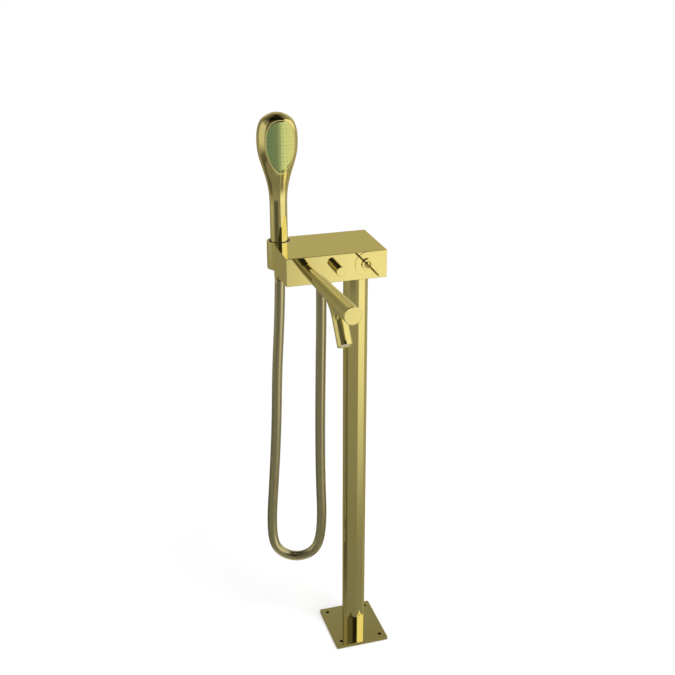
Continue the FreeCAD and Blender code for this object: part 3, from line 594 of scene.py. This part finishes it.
class FILLER_OT_foot(bpy.types.Operator):
    """Finish the base plate, the column and what screws them together"""
    bl_idname = "filler.foot"
    bl_label = "Foot and column"

    def execute(self, context):
        put_on("base_plate", surface("filler_plate_gold", plate_gold_hole_shade))
        dress("foot_socket", "foot_screws", "column_tube", "top_socket", "top_screws")
        return {"FINISHED"}


class FILLER_OT_body(bpy.types.Operator):
    """Finish the mixer body, its cover and the handset's holder"""
    bl_idname = "filler.body"
    bl_label = "Mixer body"

    def execute(self, context):
        dress("body_shell", "bottom_cover", "cover_screws", "holder_bush")
        return {"FINISHED"}


class FILLER_OT_valve(bpy.types.Operator):
    """Finish the casting, the cartridge and the pipes inside"""
    bl_idname = "filler.valve"
    bl_label = "Valve and pipes"

    def execute(self, context):
        dress("valve_casting", "mixer_cartridge", "cartridge_nut", "hot_supply_pipe", "cold_supply_pipe",
              "shower_feed_pipe")
        return {"FINISHED"}


class FILLER_OT_lever(bpy.types.Operator):
    """Finish the lever's pin, its ball and stem, and the disc and collar round them"""
    bl_idname = "filler.lever"
    bl_label = "Lever"

    def execute(self, context):
        dress("control_disc", "lever_collar", "cartridge_rotor", "cartridge_stem", "lever_ball", "lever_pin")
        return {"FINISHED"}


class FILLER_OT_diverter(bpy.types.Operator):
    """Finish the pull knob that sends water to the handset"""
    bl_idname = "filler.diverter"
    bl_label = "Diverter"

    def execute(self, context):
        dress("diverter_sleeve", "diverter_rod", "diverter_seal", "diverter_knob")
        return {"FINISHED"}


class FILLER_OT_spout(bpy.types.Operator):
    """Finish the spout, its nozzle and the aerator"""
    bl_idname = "filler.spout"
    bl_label = "Spout"

    def execute(self, context):
        dress("spout_nipple", "spout_seals", "spout_tube", "nozzle_sleeve", "aerator_body", "aerator_insert",
              "aerator_washer")
        return {"FINISHED"}


class FILLER_OT_hose_ends(bpy.types.Operator):
    """Finish the nuts and fittings at both ends of the hose"""
    bl_idname = "filler.hose_ends"
    bl_label = "Hose ends"

    def execute(self, context):
        dress("outlet_nipple", "check_valve", "outlet_hose_nut", "outlet_hose_tail", "outlet_washer",
              "handset_hose_nut", "handset_hose_tail", "handset_washer")
        return {"FINISHED"}


class FILLER_OT_handset(bpy.types.Operator):
    """Finish the handset, its spray face and jets"""
    bl_idname = "filler.handset"
    bl_label = "Handset"

    def execute(self, context):
        dress("handset_connector", "handset_shell", "spray_face", "jet_mat")
        return {"FINISHED"}


class FILLER_OT_stage(bpy.types.Operator):
    """Lay the pale floor and set up the studio's light"""
    bl_idname = "filler.stage"
    bl_label = "Floor and light"

    FLOOR_FADE = (0.3, 1.1)     # the floor turns plain white between these distances
    SPECKLE = 1.02              # its paler specks
    # Name, heading and height angle in degrees, distance, size, power.
    LAMPS = [
        ("key_light", 150.0, 48.0, 2.6, 1.8, 42.0),
        ("fill_light", 265.0, 35.0, 2.8, 2.0, 18.0),
        ("back_light", 20.0, 50.0, 3.0, 2.0, 16.0),
    ]
    LAMPS_LOOK_AT = Vector((0.0, 0.0, 0.5))
    TWICE_REFLECTED = (1.04, 1.15, 2.3)     # the room's tone where gold shows it by way of other gold
    TWICE = (1.2, 1.8)          # a glossy depth of 1 lies below these, and 2 above

    def execute(self, context):
        studio = context.scene.filler_studio
        self.add_floor(context, studio)
        self.add_world(context, studio)
        for lamp in self.LAMPS:
            self.add_lamp(context, *lamp)
        context.scene.view_settings.view_transform = "Standard"
        return {"FINISHED"}

    def add_floor(self, context, studio):
        mesh = bmesh.new()
        bmesh.ops.create_circle(mesh, cap_ends=True, segments=96, radius=studio.floor_radius)
        made = bpy.data.meshes.new("floor")
        mesh.to_mesh(made)
        mesh.free()
        floor = bpy.data.objects.new("floor", made)
        context.scene.collection.objects.link(floor)
        floor.visible_glossy = False
        made.materials.append(self.floor_material(studio))

    def floor_material(self, studio):
        """Pale and matt round the filler, where its shadow falls, and plain white further out."""
        material = bpy.data.materials.new("pale_floor")
        nodes = Nodes(material)
        distance = nodes.vector("LENGTH", nodes.place(), NOWHERE).beside(1)
        paler = [min(1.0, self.SPECKLE * channel) for channel in studio.floor]
        speckled = nodes.blend(nodes.noise(scale=180.0), opaque(studio.floor), opaque(paler))
        matt = nodes.add("ShaderNodeBsdfDiffuse", None, {"Color": speckled})
        white = nodes.add("ShaderNodeEmission", None, {"Color": WHITE, "Strength": 1.0})
        camera_ray = nodes.add("ShaderNodeLightPath", output="Is Camera Ray")
        fade = nodes.step(distance, *self.FLOOR_FADE) * camera_ray
        mixed = nodes.add("ShaderNodeMixShader", None, {0: fade, 1: matt, 2: white})
        nodes.add("ShaderNodeOutputMaterial", None, {"Surface": mixed})
        return material

    def add_world(self, context, studio):
        """White behind the filler; what its polish reflects is a room with one bright side."""
        world = bpy.data.worlds.new("studio")
        nodes = Nodes(world)
        camera_ray = nodes.add("ShaderNodeLightPath", output="Is Camera Ray")
        sharp = nodes.maths("MAXIMUM", nodes.add("ShaderNodeLightPath", output="Is Glossy Ray"),
                            nodes.add("ShaderNodeLightPath", output="Is Transmission Ray"))
        level = sharp * Room(nodes).level() + (1 - sharp) * studio.soft_light
        level = camera_ray + (1 - camera_ray) * level
        twice = nodes.step(nodes.add("ShaderNodeLightPath", output="Glossy Depth"), *self.TWICE)
        tone = nodes.blend(twice, WHITE, opaque(self.TWICE_REFLECTED))
        background = nodes.add("ShaderNodeBackground", None, {"Color": tone, "Strength": level})
        nodes.add("ShaderNodeOutputWorld", None, {"Surface": background})
        context.scene.world = world

    def add_lamp(self, context, name, heading, height, distance, size, power):
        data = bpy.data.lights.new(name, "AREA")
        data.shape = "SQUARE"
        data.size = size
        data.energy = power
        lamp = bpy.data.objects.new(name, data)
        context.scene.collection.objects.link(lamp)
        turn, tilt = math.radians(heading), math.radians(height)
        back = Vector((math.sin(turn) * math.cos(tilt), math.cos(turn) * math.cos(tilt), math.sin(tilt)))
        lamp.location = self.LAMPS_LOOK_AT + back * distance
        lamp.rotation_euler = (-back).to_track_quat("-Z", "Y").to_euler()
        lamp.visible_glossy = False


class FILLER_PT_panel(bpy.types.Panel):
    """The filler's sizes and colours, and the steps that dress it"""
    bl_idname = "FILLER_PT_panel"
    bl_label = "Bath Filler"
    bl_space_type = "VIEW_3D"
    bl_region_type = "UI"
    bl_category = "Bath Filler"

    def draw(self, context):
        for name, group in GROUPS.items():
            box = self.layout.box()
            for value in group.__annotations__:
                box.prop(getattr(context.scene, name), value)
        for operator in OPERATORS:
            self.layout.operator(operator.bl_idname)


GROUPS = {"filler_finishes": FillerFinishes, "filler_hose": FillerHose, "filler_studio": FillerStudio}
OPERATORS = [FILLER_OT_camera, FILLER_OT_hose, FILLER_OT_foot, FILLER_OT_body, FILLER_OT_valve,
             FILLER_OT_lever, FILLER_OT_diverter, FILLER_OT_spout, FILLER_OT_hose_ends, FILLER_OT_handset,
             FILLER_OT_stage]
CLASSES = [*GROUPS.values(), *OPERATORS, FILLER_PT_panel]


def register():
    for item in CLASSES:
        bpy.utils.register_class(item)
    for name, group in GROUPS.items():
        setattr(bpy.types.Scene, name, PointerProperty(type=group))


def unregister():
    for name in GROUPS:
        delattr(bpy.types.Scene, name)
    for item in reversed(CLASSES):
        bpy.utils.unregister_class(item)


def main():
    register()
    for operator in OPERATORS:
        group, name = operator.bl_idname.split(".")
        getattr(getattr(bpy.ops, group), name)()


if __name__ == "__main__":
    main()
